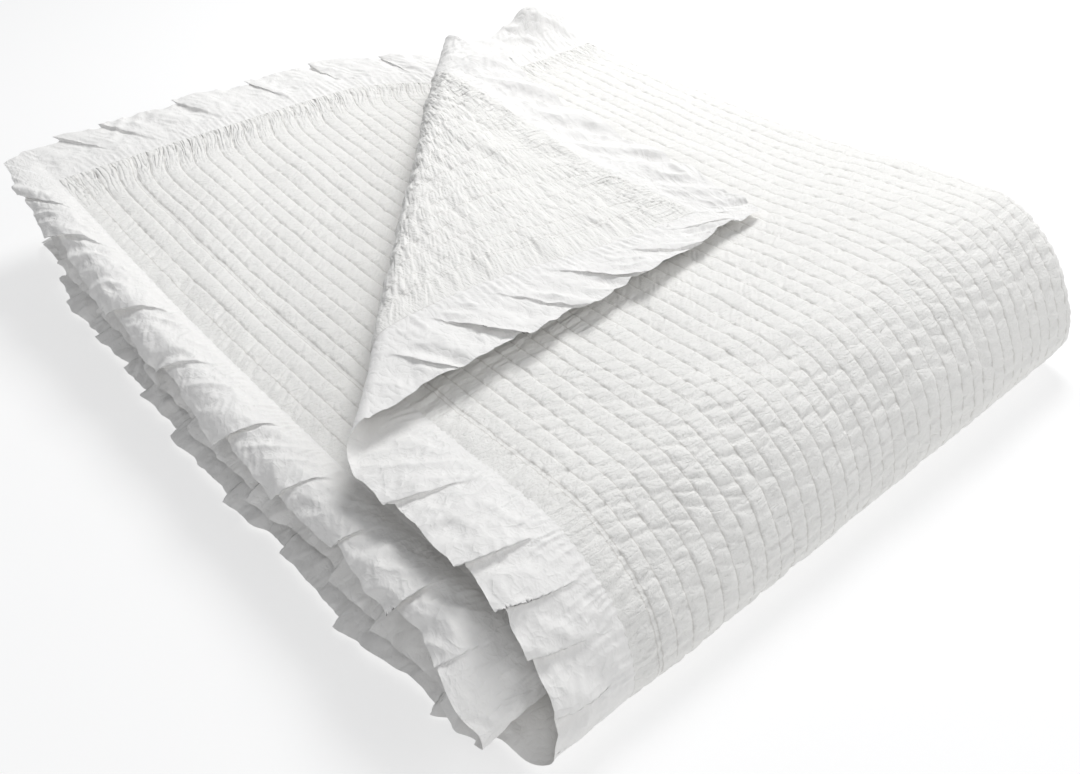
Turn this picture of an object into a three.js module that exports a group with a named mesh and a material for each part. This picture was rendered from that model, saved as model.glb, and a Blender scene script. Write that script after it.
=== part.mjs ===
// A white quilted cotton coverlet with a gathered ruffle on all four edges, folded in quarters,
// with the corner of its top layer turned back. Millimetres, +Z up, standing on z = 0.
//
// The coverlet is described flat first, by p along its stitched channels and q across them, and
// foldedPoint() carries any flat point to its place in the folded stack. Every piece uses the
// same map, so the pieces meet along their seams wherever the cloth goes.
import * as THREE from "three";

const { lerp, smoothstep, clamp } = THREE.MathUtils;

// Sizes of the flat coverlet
const CHANNEL = 25.4; // from one stitched line to the next
const CHANNELS = 78;
const HALF_LENGTH = 1230; // quilted panel, along the channels
const HALF_WIDTH = (CHANNELS * CHANNEL) / 2; // quilted panel, across the channels
const RUFFLE_WIDTH = 120;
const RUFFLE_THICKNESS = 1.6;
const SEAM_GAP = 0.8;
const STITCHED_HALF = 1.5; // half the thickness of the quilting on a stitched line
const CREST_HALF = 5.5; // and on the crest of a channel
const SEAM_PUCKER = 22; // the quilting thins out in this distance before a ruffle

// Sizes of the folded stack
const SIDE_FOLD_X = { upper: 1112, lower: 1094 }; // outermost lines of the two side folds
const SIDE_FOLD_DEPTH = 30;
const SIDE_FOLD_CLOTH = (Math.PI / 2) * SIDE_FOLD_DEPTH;
const UPPER_PAIR_SLIP = -48; // where the side fold falls on the upper pair of layers, in q
const LOWER_PAIR_SLIP = 5; // and on the lower pair
const SETTLE = 250; // distance in which a layer comes down from a fold to its own height
const FLOOR_EASE = { lift: 3, from: 930, to: 1064 }; // the lowest layer leaves the floor there

// The big front fold sags: its nose is low, and it rises slowly behind it. nose is the y and z of
// its outermost line, rise and fall are how far behind that line it meets the layers above and
// below, top and bottom are their heights there.
const FRONT_FOLD = {
  outerLeft: { noseY: 5, noseZ: 36, rise: 172, fall: 44, top: 172, bottom: 0 },
  outerRight: { noseY: -6, noseZ: 56, rise: 172, fall: 58, top: 224, bottom: 0 },
  innerLeft: { noseY: 48, noseZ: 72, rise: 130, fall: 36, top: 124, bottom: 44 },
  innerRight: { noseY: 42, noseZ: 92, rise: 130, fall: 40, top: 174, bottom: 44 },
};
const FRONT_FROM = 150; // it grows from left to right between these places
const FRONT_TO = 1080;
const OUTER_SLIP = -84; // where its nose falls on the outer layers, in p
const INNER_SLIP = 16; // and on the inner layers
const SLIP_CLOTH = 450;

// The turned back corner: its fold line is y = x + TURN_OFFSET in plan
const TURN_OFFSET = 282;
const TURN_RADIUS = { near: 19, far: 42 };
const TURN_FROM = 350; // along the fold line, from its left end
const TURN_TO = 1500;
const TURN_SETTLE = 260;
const TURN_REST = { tip: 15, root: 26 }; // height of the turned corner over the top layer
const TURN_MOST_RAISED = 2;
const TURN_PULLED = { by: 104, over: 430 }; // the turned cloth is pulled this far to the front

// Heights of the middle of each layer's cloth at three stations across the stack (x) and four
// along it (y). The fourth layer lies on the floor.
const STATIONS_X = [150, 600, 1080];
const LOFT = [
  { y: 200, top: [166, 192, 222], second: [112, 132, 150], third: [54, 62, 68] },
  { y: 500, top: [164, 184, 196], second: [110, 126, 134], third: [52, 60, 64] },
  { y: 850, top: [168, 182, 190], second: [118, 126, 130], third: [56, 60, 64] },
  { y: 1250, top: [188, 194, 200], second: [156, 156, 146], third: [84, 84, 80] },
];
const STATIONS_Y = LOFT.map((row) => row.y);

// How far each layer's ruffle reaches out from its seam and how high it lies there, at its
// middle and at its hem, on the two ruffled sides of the stack.
const RUFFLE_LAY = {
  top: { side: [58, 2, 116, -3], end: [56, 8, 112, 18] },
  second: { side: [50, 24, 78, -14], end: [56, 8, 112, 14] },
  third: { side: [60, 20, 112, -8], end: [57, 4, 112, 6] },
  fourth: { side: [57, 24, 114, -1], end: [57, 10, 112, -1] },
};
const STRAIGHT_OUT = [58, 0, 114, 0];
// The side ruffles reach less, and lie flatter, towards the back, the top layer's most.
const PULLED_IN = { share: 0.24, flatter: 0.7, from: 550, to: 1350 };
const PULLED_TOP = { share: 0.38, from: 400, to: 1000 };
const ROUNDED = { share: 0.3, from: 160 }; // outer ruffles reach less round the panel's corners
const PLEAT = 87; // one wave of the gathers
const PLEAT_HEIGHT = 9;
const MITRE_GAP = 1; // the strips stay this far from their shared mitre line
const MITRE_FADE = 90; // and lie plain in this distance before it

// A smooth curve through values at uneven stations, read at one place.
function through(stations, values, at) {
  const last = stations.length - 1;
  let i = 0;
  while (i < last - 1 && at > stations[i + 1]) i += 1;
  const slope = (a, b) => (values[b] - values[a]) / (stations[b] - stations[a]);
  const span = stations[i + 1] - stations[i];
  const t = clamp((at - stations[i]) / span, -0.4, 1.4);
  const m0 = slope(Math.max(i - 1, 0), i + 1) * span;
  const m1 = slope(i, Math.min(i + 2, last)) * span;
  const t2 = t * t;
  const t3 = t2 * t;
  return (
    (2 * t3 - 3 * t2 + 1) * values[i] +
    (t3 - 2 * t2 + t) * m0 +
    (3 * t2 - 2 * t3) * values[i + 1] +
    (t3 - t2) * m1
  );
}

function loftOf(layer, x, y) {
  const rows = LOFT.map((row) => through(STATIONS_X, row[layer], x));
  return through(STATIONS_Y, rows, y);
}

// How far the lowest layer is off the floor, towards the side fold.
function floorEase(x, depth) {
  return (1 - depth) * FLOOR_EASE.lift * smoothstep(x, FLOOR_EASE.from, FLOOR_EASE.to);
}

// The section of the front fold at one place along it, outer (depth 0) to inner (depth 1).
function frontFold(x, depth) {
  const grown = smoothstep(x, FRONT_FROM, FRONT_TO);
  const fold = {};
  for (const key of Object.keys(FRONT_FOLD.outerLeft)) {
    const outer = lerp(FRONT_FOLD.outerLeft[key], FRONT_FOLD.outerRight[key], grown);
    const inner = lerp(FRONT_FOLD.innerLeft[key], FRONT_FOLD.innerRight[key], grown);
    fold[key] = lerp(outer, inner, depth);
  }
  fold.bottom += floorEase(x, depth);
  fold.riseCloth = 1.09 * Math.hypot(fold.rise, fold.top - fold.noseZ);
  fold.fallCloth = 1.11 * Math.hypot(fold.fall, fold.noseZ - fold.bottom);
  fold.upperReach = fold.noseY + fold.rise - fold.riseCloth;
  fold.lowerReach = fold.noseY + fold.fall - fold.fallCloth;
  return fold;
}

// Height of the upper (or lower) half of the stack at a place in plan. depth is 0 on the outer
// layers, 1 on the inner ones, and runs from 0 to 1 round the side fold.
function layerHeight(x, y, depth, upper) {
  const fold = frontFold(x, depth);
  if (upper) {
    const loft = lerp(loftOf("top", x, y), loftOf("second", x, y), depth);
    return lerp(fold.top, loft, smoothstep(y - fold.noseY - fold.rise, 0, SETTLE));
  }
  const settled = smoothstep(y - fold.noseY - fold.fall, 0, SETTLE);
  return lerp(fold.bottom, depth * loftOf("third", x, y) + floorEase(x, depth), settled);
}

// One ruffle section: the offset outwards and upwards at a share of the ruffle's width.
function lay([midOut, midUp, hemOut, hemUp], share) {
  const a = 2 * (1 - share) * share;
  const b = share * share;
  const bend = (mid, hem) => 2 * mid - hem / 2;
  return [
    a * bend(midOut, hemOut) + b * hemOut,
    a * bend(midUp, hemUp) + b * hemUp,
  ];
}

function mixLay(a, b, t) {
  return a.map((value, i) => lerp(value, b[i], t));
}

// How far a flat point of the top layer is past the diagonal fold line.
function pastTurn(p, q) {
  const x = SIDE_FOLD_X.upper - SIDE_FOLD_DEPTH + SIDE_FOLD_CLOTH - (UPPER_PAIR_SLIP - q);
  const fold = frontFold(x, 0);
  const y = fold.noseY + fold.rise - fold.riseCloth + OUTER_SLIP - p;
  return (y - x - TURN_OFFSET) * Math.SQRT1_2;
}

function turnRadius(along) {
  return lerp(TURN_RADIUS.near, TURN_RADIUS.far, smoothstep(along, TURN_FROM, TURN_TO));
}

// Turns the corner of the top layer over its diagonal fold line.
function turnCorner(point) {
  const s = (point.y - point.x - TURN_OFFSET) * Math.SQRT1_2;
  if (s <= 0) return point;
  const along = (point.x + point.y) * Math.SQRT1_2;
  const stand = point.z - layerHeight(point.x, point.y, 0, true);
  const radius = turnRadius(along);
  const footX = point.x + s * Math.SQRT1_2;
  const footY = point.y - s * Math.SQRT1_2;
  const round = Math.PI * radius;
  const raised = lerp(stand, Math.min(stand, TURN_MOST_RAISED), smoothstep(s, 0, round));
  if (s < round) {
    const angle = s / radius;
    const out = (radius - raised) * Math.sin(angle);
    const up = radius - (radius - raised) * Math.cos(angle);
    return new THREE.Vector3(
      footX - out * Math.SQRT1_2,
      footY + out * Math.SQRT1_2,
      layerHeight(footX, footY, 0, true) + up,
    );
  }
  const back = s - round;
  const pulled = TURN_PULLED.by * smoothstep(back, 0, TURN_PULLED.over);
  const x = footX + back * Math.SQRT1_2;
  const y = footY - back * Math.SQRT1_2 - pulled;
  const rest = lerp(TURN_REST.root, TURN_REST.tip, smoothstep(back, 150, 600));
  const lift = lerp(2 * radius, rest, smoothstep(back, 0, TURN_SETTLE));
  return new THREE.Vector3(x, y, layerHeight(x, y, 0, true) + lift - raised);
}

// What is left of an outer ruffle's reach near the panel's corners.
function roundedCorner(panelP, panelQ) {
  const p = smoothstep(Math.abs(panelP), HALF_LENGTH - ROUNDED.from, HALF_LENGTH);
  const q = smoothstep(-panelQ, HALF_WIDTH - ROUNDED.from, HALF_WIDTH);
  return 1 - ROUNDED.share * p * q;
}

// The place of the flat point (p, q) on the middle of the cloth.
function foldedPoint(p, q) {
  const panelP = clamp(p, -HALF_LENGTH, HALF_LENGTH);
  const panelQ = clamp(q, -HALF_WIDTH, HALF_WIDTH);
  const beyondP = Math.abs(p - panelP) / RUFFLE_WIDTH;
  const beyondQ = Math.abs(q - panelQ) / RUFFLE_WIDTH;

  // The side fold: outer layers, the turn, inner layers.
  const lower = smoothstep(panelP, -200, 200);
  const fromFold = panelQ - lerp(UPPER_PAIR_SLIP, LOWER_PAIR_SLIP, lower);
  const turn = clamp(fromFold / SIDE_FOLD_CLOTH, -1, 1);
  const depth = (1 + Math.sin((turn * Math.PI) / 2)) / 2;
  const straight = Math.max(Math.abs(fromFold) - SIDE_FOLD_CLOTH, 0);
  const bulge = SIDE_FOLD_DEPTH * (1 - Math.cos((turn * Math.PI) / 2));
  let x = lerp(SIDE_FOLD_X.upper, SIDE_FOLD_X.lower, lower) - bulge - straight;

  // The front fold, the inner one nested in the outer one. The panel's ends stay square round the
  // side fold, and the slip between the layers is taken up in the cloth behind it.
  const fold = frontFold(x, depth);
  const outerFold = frontFold(x, 0);
  const upperSlip = OUTER_SLIP + outerFold.upperReach - fold.upperReach;
  const lowerSlip = OUTER_SLIP + fold.lowerReach - outerFold.lowerReach;
  const squareSlip = lerp(upperSlip, lowerSlip, smoothstep(panelP, -600, 500));
  const inside = smoothstep(fromFold, SIDE_FOLD_CLOTH, SIDE_FOLD_CLOTH + SLIP_CLOTH);
  const run = panelP - lerp(squareSlip, INNER_SLIP, inside);
  const upper = run < 0;
  const curve = upper ? fold.riseCloth : fold.fallCloth;
  const angle = (Math.min(Math.abs(run) / curve, 1) * Math.PI) / 2;
  const flat = Math.max(Math.abs(run) - curve, 0);
  let y = fold.noseY + flat;
  let z;
  if (upper) {
    y += fold.rise * (1 - Math.cos(angle)) ** 0.75;
    z = lerp(fold.noseZ, fold.top, Math.sin(angle));
  } else {
    y += fold.fall * (1 - Math.cos(angle));
    z = lerp(fold.noseZ, fold.bottom, Math.sin(angle));
  }
  if (flat > 0) z = layerHeight(x, y, depth, upper);

  // The ruffles beyond the panel's seams.
  const names = upper ? ["top", "second"] : ["fourth", "third"];
  const corner = roundedCorner(panelP, panelQ);
  if (beyondQ > 0) {
    const side = RUFFLE_LAY[names[q < 0 ? 0 : 1]].side;
    const level = smoothstep(angle, 0.3, Math.PI / 2);
    const [out, up] = lay(mixLay(STRAIGHT_OUT, side, level), beyondQ);
    const pulled = upper && q < 0 ? PULLED_TOP : PULLED_IN;
    x -= out * corner * (1 - pulled.share * smoothstep(y, pulled.from, pulled.to));
    z += up * corner * (1 - PULLED_IN.flatter * smoothstep(y, PULLED_IN.to - 250, PULLED_IN.to));
  }
  if (beyondP > 0) {
    const end = mixLay(RUFFLE_LAY[names[0]].end, RUFFLE_LAY[names[1]].end, depth);
    const [out, up] = lay(end, beyondP);
    y += out * corner;
    z += up;
  }
  const point = new THREE.Vector3(x, y, z + CREST_HALF);
  if (upper && fromFold < -SIDE_FOLD_CLOTH) {
    point.z -= CREST_HALF;
    const turned = turnCorner(point);
    turned.z += CREST_HALF;
    return turned;
  }
  return point;
}

// A place on the panel keeps this step inside its seams where its slope is measured.
const STEP = 0.5;
function insideSeam(place, half) {
  return Math.abs(place) > half ? place : clamp(place, STEP - half, half - STEP);
}

// The point that stands a distance off the cloth, on its outer (+) or inner (-) face.
function offCloth(p, q, off) {
  const a = insideSeam(p, HALF_LENGTH);
  const b = insideSeam(q, HALF_WIDTH);
  const along = foldedPoint(a + STEP, b).sub(foldedPoint(a - STEP, b));
  const across = foldedPoint(a, b + STEP).sub(foldedPoint(a, b - STEP));
  const normal = along.cross(across).normalize();
  return foldedPoint(p, q).addScaledVector(normal, off);
}

// Half the thickness of the quilting: thin on the stitched lines and at the seams.
function quiltHalf(p, q) {
  const phase = (q + HALF_WIDTH) / CHANNEL;
  const crest = Math.abs(Math.sin(Math.PI * phase));
  const edge = smoothstep(HALF_LENGTH - Math.abs(p), 0, SEAM_PUCKER);
  return lerp(STITCHED_HALF, CREST_HALF, crest * edge);
}

// Collects shared vertices and triangles for one closed solid.
class Skin {
  constructor() {
    this.places = [];
    this.faces = [];
  }
  add(point) {
    this.places.push(point.x, point.y, point.z);
    return this.places.length / 3 - 1;
  }
  quad(a, b, c, d) {
    this.faces.push(a, b, c, a, c, d);
  }
  // Fills between two rows of vertices whose places rise together. flipped turns the faces over.
  zip(rowA, rowB, atA, atB, flipped = false) {
    let i = 0;
    let j = 0;
    while (i < rowA.length - 1 || j < rowB.length - 1) {
      const nextA = i < rowA.length - 1 ? atA[i + 1] : Infinity;
      const nextB = j < rowB.length - 1 ? atB[j + 1] : Infinity;
      const face = [rowA[i], nextA <= nextB ? rowA[i + 1] : rowB[j + 1], rowB[j]];
      if (nextA <= nextB) i += 1;
      else j += 1;
      this.faces.push(...(flipped ? face.reverse() : face));
    }
  }
  mesh(name, material) {
    const geometry = new THREE.BufferGeometry();
    geometry.setAttribute("position", new THREE.Float32BufferAttribute(this.places, 3));
    geometry.setIndex(this.faces);
    geometry.computeVertexNormals();
    const mesh = new THREE.Mesh(geometry, material);
    mesh.name = name;
    return mesh;
  }
}

// The rows of the panel's grid, each a place along p that depends on q. On the outer layers they
// gather at the turned corner's roll and at the front fold, on the inner ones at the front fold.
const RISE_SHARES = [-1, -0.75, -0.5, -0.25];
const FALL_SHARES = [0, 0.35, 0.7, 1];
const ROLL_SHARES = [1, 0.75, 0.5, 0.25, 0];

function rowPlaces(q) {
  const fromFold = q - UPPER_PAIR_SLIP;
  const straight = Math.max(Math.abs(fromFold) - SIDE_FOLD_CLOTH, 0);
  const x = SIDE_FOLD_X.upper - SIDE_FOLD_DEPTH - straight;
  const frontRows = (depth, slip) => {
    const fold = frontFold(x, depth);
    const rise = RISE_SHARES.map((share) => slip + share * fold.riseCloth);
    return [...rise, ...FALL_SHARES.map((share) => slip + share * fold.fallCloth)];
  };
  const start = -HALF_LENGTH + SEAM_PUCKER;

  const outerFold = frontFold(x, 0);
  const outerFront = frontRows(0, OUTER_SLIP);
  const rollWidth = Math.SQRT2 * Math.PI * turnRadius((2 * x + TURN_OFFSET) * Math.SQRT1_2);
  const line = outerFront[0] - (x + TURN_OFFSET - outerFold.noseY - outerFold.rise);
  const roll = ROLL_SHARES.map((share, i) =>
    Math.max(line - share * rollWidth, start + 38 + i * 30),
  );
  const flap = [1 / 3, 2 / 3].map((t) => lerp(start, roll[0], t));
  const top = [1 / 4, 1 / 2, 3 / 4].map((t) => lerp(roll[4], outerFront[0], t));
  const outerRows = [...flap, ...roll, ...top, ...outerFront];

  const innerFront = frontRows(1, INNER_SLIP);
  const count = outerRows.length - innerFront.length;
  const level = Array.from({ length: count }, (_, i) =>
    lerp(start, innerFront[0], (i + 1) / (count + 1)),
  );
  const innerRows = [...level, ...innerFront];

  const inside = smoothstep(fromFold, SIDE_FOLD_CLOTH, SIDE_FOLD_CLOTH + SLIP_CLOTH);
  const upper = outerRows.map((place, i) => lerp(place, innerRows[i], inside));
  const end = HALF_LENGTH - SEAM_PUCKER;
  const under = [1 / 3, 2 / 3].map((t) => lerp(upper.at(-1), end, t));
  return [-HALF_LENGTH, start, ...upper, ...under, end, HALF_LENGTH];
}

// Places across the panel, with as many to a channel as verticesAt asks for: 2, 1 or 0.5.
function acrossPlaces(verticesAt) {
  const places = [];
  for (let i = 0; i < CHANNELS; i += 1) {
    const start = -HALF_WIDTH + i * CHANNEL;
    const vertices = verticesAt(start);
    if (vertices >= 1 || i % 2 === 0) places.push(start);
    if (vertices === 2) places.push(start + CHANNEL / 2);
  }
  places.push(HALF_WIDTH);
  return places;
}

// The underside that rests on the floor is flat: its grooves fade out round the front fold.
function outerHalf(p, q) {
  if (q > UPPER_PAIR_SLIP) return quiltHalf(p, q);
  const resting = smoothstep(p, OUTER_SLIP, 0);
  return lerp(quiltHalf(p, q), CREST_HALF, resting);
}

// Fine where the channels show or the cloth turns, coarse where the stack hides flat layers.
const TURNED_CORNER_WIDTH = 620;
const REVEALED_WIDTH = 800;
const ACROSS_OUTER = acrossPlaces((q) => {
  if (q < 2 * SIDE_FOLD_CLOTH) return 2;
  return q < SIDE_FOLD_CLOTH + SLIP_CLOTH ? 1 : 0.5;
});
const ACROSS_INNER = acrossPlaces((q) => {
  const shown = q < -HALF_WIDTH + TURNED_CORNER_WIDTH || q > HALF_WIDTH - REVEALED_WIDTH;
  if (shown || Math.abs(q) < 2 * SIDE_FOLD_CLOTH) return 2;
  return q > 0 ? 1 : 0.5;
});

function quiltedPanel(material) {
  const skin = new Skin();
  const grid = (places, halfAt, sign) =>
    places.map((q) => rowPlaces(q).map((p) => skin.add(offCloth(p, q, sign * halfAt(p, q)))));
  const outer = grid(ACROSS_OUTER, outerHalf, 1);
  const inner = grid(ACROSS_INNER, quiltHalf, -1);
  const rows = outer[0].length;
  for (let j = 0; j < rows - 1; j += 1) {
    for (let i = 0; i < outer.length - 1; i += 1) {
      skin.quad(outer[i][j], outer[i][j + 1], outer[i + 1][j + 1], outer[i + 1][j]);
    }
    for (let i = 0; i < inner.length - 1; i += 1) {
      skin.quad(inner[i][j], inner[i + 1][j], inner[i + 1][j + 1], inner[i][j + 1]);
    }
    const [o, n] = [outer[0], inner[0]];
    skin.quad(o[j], n[j], n[j + 1], o[j + 1]);
    const [O, N] = [outer.at(-1), inner.at(-1)];
    skin.quad(O[j], O[j + 1], N[j + 1], N[j]);
  }
  const edge = (columns, j) => columns.map((column) => column[j]);
  skin.zip(edge(outer, 0), edge(inner, 0), ACROSS_OUTER, ACROSS_INNER);
  skin.zip(edge(inner, rows - 1), edge(outer, rows - 1), ACROSS_INNER, ACROSS_OUTER);
  return skin.mesh("quilted_panel", material);
}

// Uneven waves of the gathers along a ruffle.
function gathers(t) {
  const phase = (2 * Math.PI * t) / PLEAT + 1.1 * Math.sin(t / 143) + 0.6 * Math.sin(t / 61);
  return Math.sin(phase + 0.5 * Math.sin(phase));
}

// A vertex of a ruffle's sewn edge: on the line between the two nearest vertices of the panel's
// edge, moved out by the seam's gap.
function seamPoint(t, toFlat, places, off) {
  let i = 0;
  while (i < places.length - 2 && t > places[i + 1]) i += 1;
  const [from, to] = [places[i], places[i + 1]].map((place) => {
    const seam = toFlat(place, 0);
    const inward = toFlat(place, -STEP);
    const out = foldedPoint(seam.p, seam.q).sub(foldedPoint(inward.p, inward.q)).normalize();
    return offCloth(seam.p, seam.q, off).addScaledVector(out, SEAM_GAP);
  });
  return from.lerp(to, (t - places[i]) / (places[i + 1] - places[i]));
}

// The gathers are pulled flat at the mitres, round the side folds and over the corner's roll.
function looseness(p, q, fromMitre) {
  const atMitre = smoothstep(fromMitre, 0, MITRE_FADE);
  const atFold = smoothstep(Math.abs(q), SIDE_FOLD_CLOTH / 2, 2 * SIDE_FOLD_CLOTH);
  const roll = Math.PI * TURN_RADIUS.near;
  const onTop = p < 0 && q < 0;
  const atRoll = onTop ? smoothstep(Math.abs(pastTurn(p, q) - roll / 2), roll / 4, 1.5 * roll) : 1;
  return atMitre * atFold * atRoll;
}

// Where the diagonal fold line crosses a seam, between its first end and its middle.
function turnPlace(toFlat, halfSeam) {
  let [past, before] = [-halfSeam, 0];
  while (before - past > 1) {
    const middle = (past + before) / 2;
    const { p, q } = toFlat(middle, 0);
    if (pastTurn(p, q) > 0) past = middle;
    else before = middle;
  }
  return past;
}

// A gathered strip sewn to one edge of the panel, mitred at its ends. toFlat turns the strip's own
// place (t along the seam, e out from it) into p and q, seamPlaces gives the panel's own vertices
// along the seam on each face, and turned is true where the strip runs the other way round.
function ruffle(name, halfSeam, toFlat, seamPlaces, turned, material) {
  const skin = new Skin();
  const columns = Math.round((2 * halfSeam) / (PLEAT / 5));
  const stations = Array.from({ length: columns + 1 }, (_, i) =>
    lerp(-halfSeam, halfSeam, i / columns),
  );
  // Near the turned corner's roll the rows slant, so that they run along the roll.
  const rollAt = turnPlace(toFlat, halfSeam);
  const first = toFlat(-halfSeam, 0);
  const hasRoll = first.p < 0 && first.q < 0;
  const slant = (along) => (hasRoll ? 1 - smoothstep(Math.abs(along - rollAt), 40, 300) : 0);
  const both = [...new Set([...seamPlaces(1), ...seamPlaces(-1)])].sort((a, b) => a - b);
  const places = [both, stations, stations];
  const face = (sign) => {
    const off = (sign * RUFFLE_THICKNESS) / 2;
    const rowAt = (share) =>
      stations.map((along) => {
        const e = share * RUFFLE_WIDTH;
        const t = along * (1 + (e - MITRE_GAP) / halfSeam) + e * slant(along);
        const { p, q } = toFlat(t, e);
        const loose = looseness(p, q, halfSeam - Math.abs(along));
        const wave = PLEAT_HEIGHT * share * loose * gathers(t);
        const lyingDown = q < 0 && (p > 0 || pastTurn(p, q) > 0);
        return skin.add(offCloth(p, q, (lyingDown ? -Math.abs(wave) : wave) + off));
      });
    const seam = both.map((t) => skin.add(seamPoint(t, toFlat, seamPlaces(sign), off)));
    return [seam, rowAt(0.5), rowAt(1)];
  };
  const [upper, under] = turned ? [face(-1), face(1)] : [face(1), face(-1)];
  for (let j = 0; j < 2; j += 1) {
    skin.zip(upper[j], upper[j + 1], places[j], places[j + 1]);
    skin.zip(under[j], under[j + 1], places[j], places[j + 1], true);
    skin.quad(upper[j][0], upper[j + 1][0], under[j + 1][0], under[j][0]);
    const ends = [upper[j], under[j], under[j + 1], upper[j + 1]];
    skin.quad(...ends.map((row) => row.at(-1)));
  }
  skin.zip(under[0], upper[0], both, both);
  skin.zip(upper[2], under[2], stations, stations);
  return skin.mesh(name, material);
}

const quilting = new THREE.MeshStandardMaterial({ color: "#f1f1ef", roughness: 0.9, metalness: 0 });
const voile = new THREE.MeshStandardMaterial({ color: "#f4f4f2", roughness: 0.85, metalness: 0 });

const sideSeam = (sign) => (t, e) => ({ p: t, q: sign * (HALF_WIDTH + e) });
const endSeam = (sign) => (t, e) => ({ p: sign * (HALF_LENGTH + e), q: t });
const rowsAt = (sign) => () => rowPlaces(sign * HALF_WIDTH);
const columnsOf = (face) => (face > 0 ? ACROSS_OUTER : ACROSS_INNER);

const coverlet = new THREE.Group();
coverlet.add(
  quiltedPanel(quilting),
  ruffle("ruffle_side_outer", HALF_LENGTH, sideSeam(-1), rowsAt(-1), true, voile),
  ruffle("ruffle_side_inner", HALF_LENGTH, sideSeam(1), rowsAt(1), false, voile),
  ruffle("ruffle_end_upper", HALF_WIDTH, endSeam(-1), columnsOf, false, voile),
  ruffle("ruffle_end_lower", HALF_WIDTH, endSeam(1), columnsOf, true, voile),
);

// The origin is under the middle of the stack.
const middle = new THREE.Box3().setFromObject(coverlet).getCenter(new THREE.Vector3());
for (const piece of coverlet.children) piece.geometry.translate(-middle.x, -middle.y, 0);

export default coverlet;
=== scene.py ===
# %% [markdown]
# # A quilted coverlet, folded in quarters
#
# The object is one big piece of white quilted cotton with a gathered ruffle of thin cotton voile
# sewn to all four edges. It is folded in quarters, its big front fold faces us, and the corner of
# the top layer is turned back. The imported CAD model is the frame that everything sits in, so the
# script loads it first and never moves it.

import bpy
import numpy as np
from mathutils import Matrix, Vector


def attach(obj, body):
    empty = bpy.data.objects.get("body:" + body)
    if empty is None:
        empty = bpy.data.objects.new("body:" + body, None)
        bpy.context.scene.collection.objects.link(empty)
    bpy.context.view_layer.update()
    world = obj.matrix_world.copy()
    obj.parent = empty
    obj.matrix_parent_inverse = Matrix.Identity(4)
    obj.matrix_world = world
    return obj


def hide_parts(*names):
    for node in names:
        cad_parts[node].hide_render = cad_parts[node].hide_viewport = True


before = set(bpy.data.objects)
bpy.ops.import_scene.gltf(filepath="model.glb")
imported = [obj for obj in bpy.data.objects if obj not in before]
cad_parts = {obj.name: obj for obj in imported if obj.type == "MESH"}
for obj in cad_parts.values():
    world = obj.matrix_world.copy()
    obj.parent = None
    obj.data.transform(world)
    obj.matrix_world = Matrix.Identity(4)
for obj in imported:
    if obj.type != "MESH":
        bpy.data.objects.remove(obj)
scene = bpy.context.scene
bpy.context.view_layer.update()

# %% [markdown]
# ## The camera
#
# The photograph looks down on the stack over its near corner. A camera could be aimed with a
# constraint, but here its place and its three angles are written out: they were fitted to the
# stack's corners, so the picture's outline can be laid over the photograph.

# %% Camera
camera = bpy.data.objects.new("camera", bpy.data.cameras.new("camera"))
scene.collection.objects.link(camera)
camera.data.lens = 34.43
camera.data.sensor_width = 36.0
camera.location = (-0.88205, -1.1072, 1.0043)
camera.rotation_euler = np.radians([49.952, 0.0, -41.659])
scene.camera = camera
print("camera at", [round(v, 3) for v in camera.location], "lens", camera.data.lens, "mm")

# %% [markdown]
# ## The floor and the light
#
# The coverlet lies on a plain white ground in soft light that comes from above and from behind
# its right side. The side that faces the camera's left gets much less. An environment picture
# could light it, but area lamps are easier to place: a big one makes the soft shadows, two
# weaker ones fill them in, and the world's even cool white lifts everything.

# %% Helpers for materials
def linear(code):
    """An sRGB hex colour as the linear red, green, blue and alpha that Blender works in."""
    parts = np.array([int(code[i : i + 2], 16) / 255 for i in (1, 3, 5)])
    low, high = parts / 12.92, ((parts + 0.055) / 1.055) ** 2.4
    return (*np.where(parts <= 0.04045, low, high), 1.0)


def add_node(material, kind, settings=None, values=None, links=None):
    """Adds one node: settings are its own options, values its sockets' constants, and links
    gives the output that feeds each of its inputs."""
    tree = material.node_tree
    node = tree.nodes.new(kind)
    for name, value in (settings or {}).items():
        setattr(node, name, value)
    for name, value in (values or {}).items():
        node.inputs[name].default_value = value
    for name, output in (links or {}).items():
        tree.links.new(output, node.inputs[name])
    return node


def new_material(name):
    """An empty material, and its output node."""
    material = bpy.data.materials.new(name)
    material.use_nodes = True
    material.node_tree.nodes.clear()
    return material, add_node(material, "ShaderNodeOutputMaterial")


print("white in linear light", [round(v, 3) for v in linear("#F2F1EE")])

# %% Floor
# A roll of matt white studio paper. It glows a little, which keeps it near white while the
# shadows on it stay faint.
FLOOR_HALF, FLOOR_DROP = 9.0, 0.0005  # metres; it lies just below the cloth
floor_paper, surface = new_material("matt_white_paper_floor")
paper = add_node(
    floor_paper,
    "ShaderNodeBsdfPrincipled",
    values={"Base Color": linear("#A8A8A8"), "Roughness": 0.95, "Specular IOR Level": 0.1,
            "Emission Color": linear("#FFFFFF"), "Emission Strength": 0.62},
)
floor_paper.node_tree.links.new(paper.outputs["BSDF"], surface.inputs["Surface"])
floor_mesh = bpy.data.meshes.new("floor")
floor_corners = [(x * FLOOR_HALF, y * FLOOR_HALF, 0)
                 for x, y in ((-1, -1), (1, -1), (1, 1), (-1, 1))]
floor_mesh.from_pydata(floor_corners, [], [(0, 1, 2, 3)])
floor_mesh.materials.append(floor_paper)
floor = bpy.data.objects.new("floor", floor_mesh)
scene.collection.objects.link(floor)
floor.location.z = -FLOOR_DROP
print("floor", [round(v, 1) for v in floor.dimensions], "m")


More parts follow.
